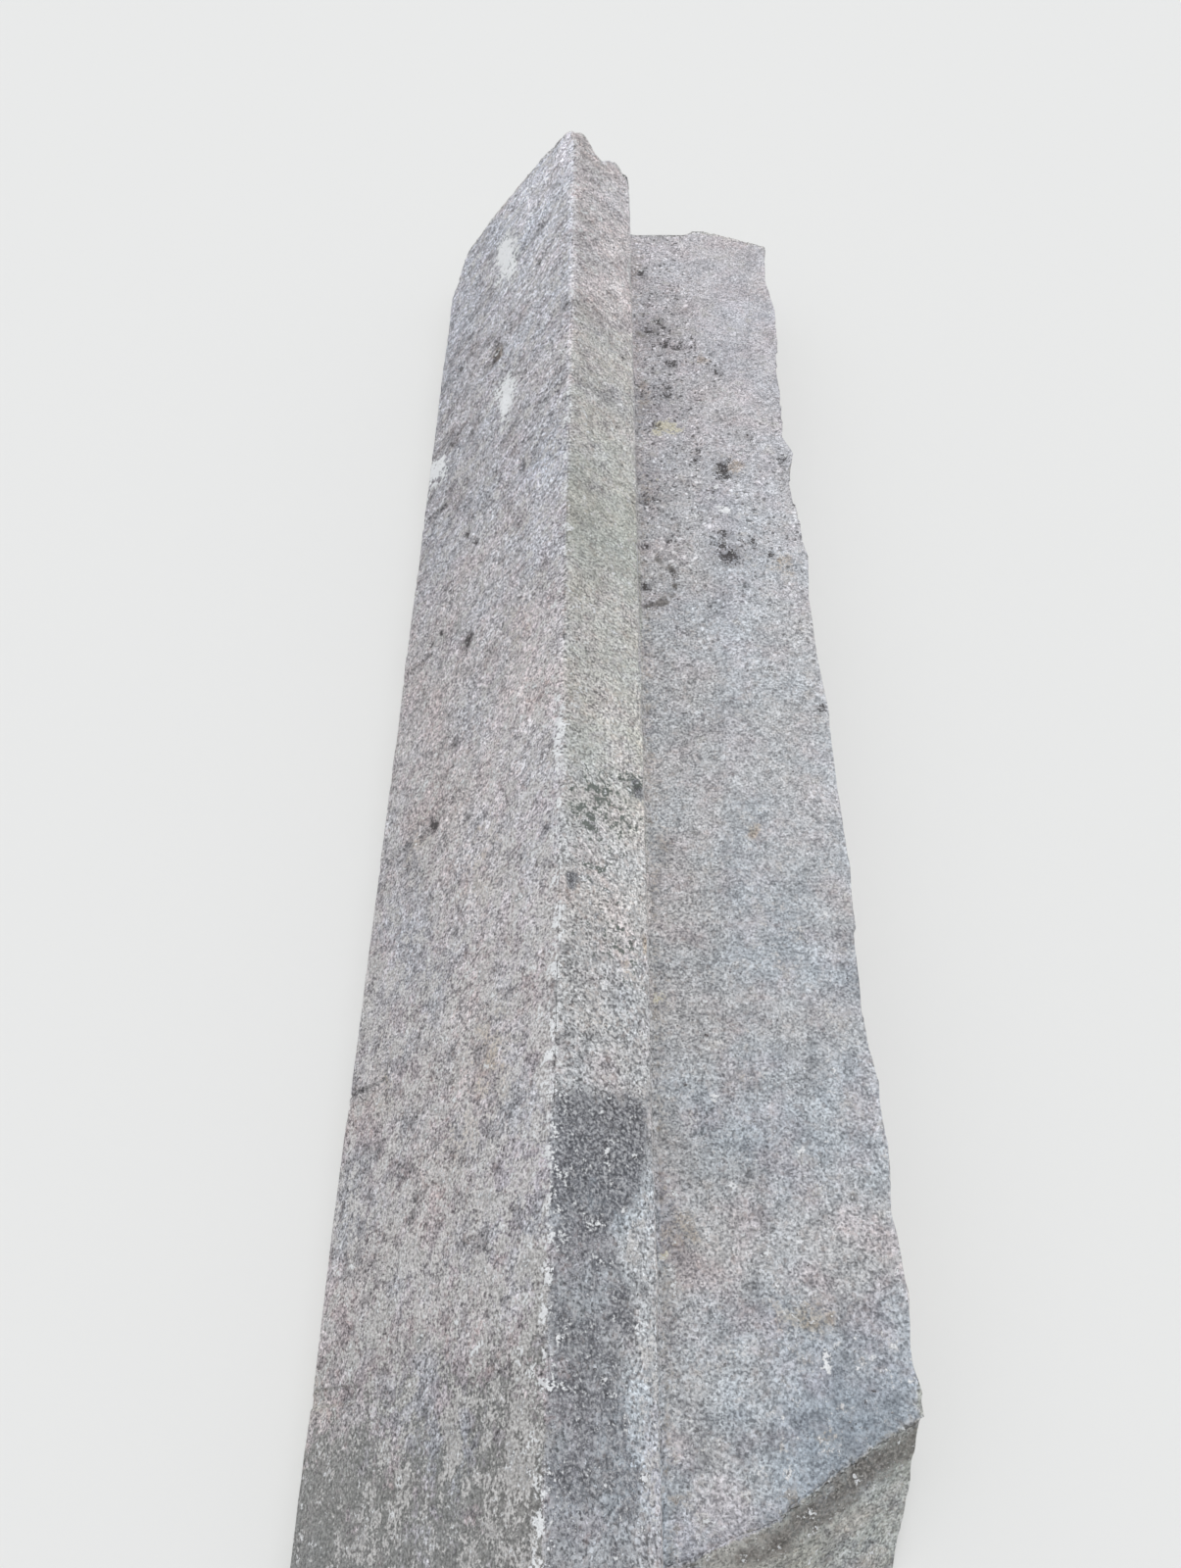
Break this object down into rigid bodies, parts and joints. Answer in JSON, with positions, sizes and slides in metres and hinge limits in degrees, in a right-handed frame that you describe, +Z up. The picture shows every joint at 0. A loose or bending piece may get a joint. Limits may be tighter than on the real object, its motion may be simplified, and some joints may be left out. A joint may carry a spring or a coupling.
{
  "type": "granite kerb stone",
  "caption": "Long rebated granite kerb stone with a sloping split back, a worn ridge, a sloping top strip and an upright step above a wide flat tread.",
  "frame": {"origin": "middle of the stone's box, on the bed that it lies on", "axes": "+X across the stone towards the tread, +Y along the stone from the broken near end, +Z up from the bed"},
  "size_m": [0.636, 2.232, 0.34],
  "materials": {
    "granite": "rough weathered grey granite, mottled with lichen and algae"
  },
  "bodies": {
    "root": {"kerb_stone": "granite"}
  },
  "joints": []
}
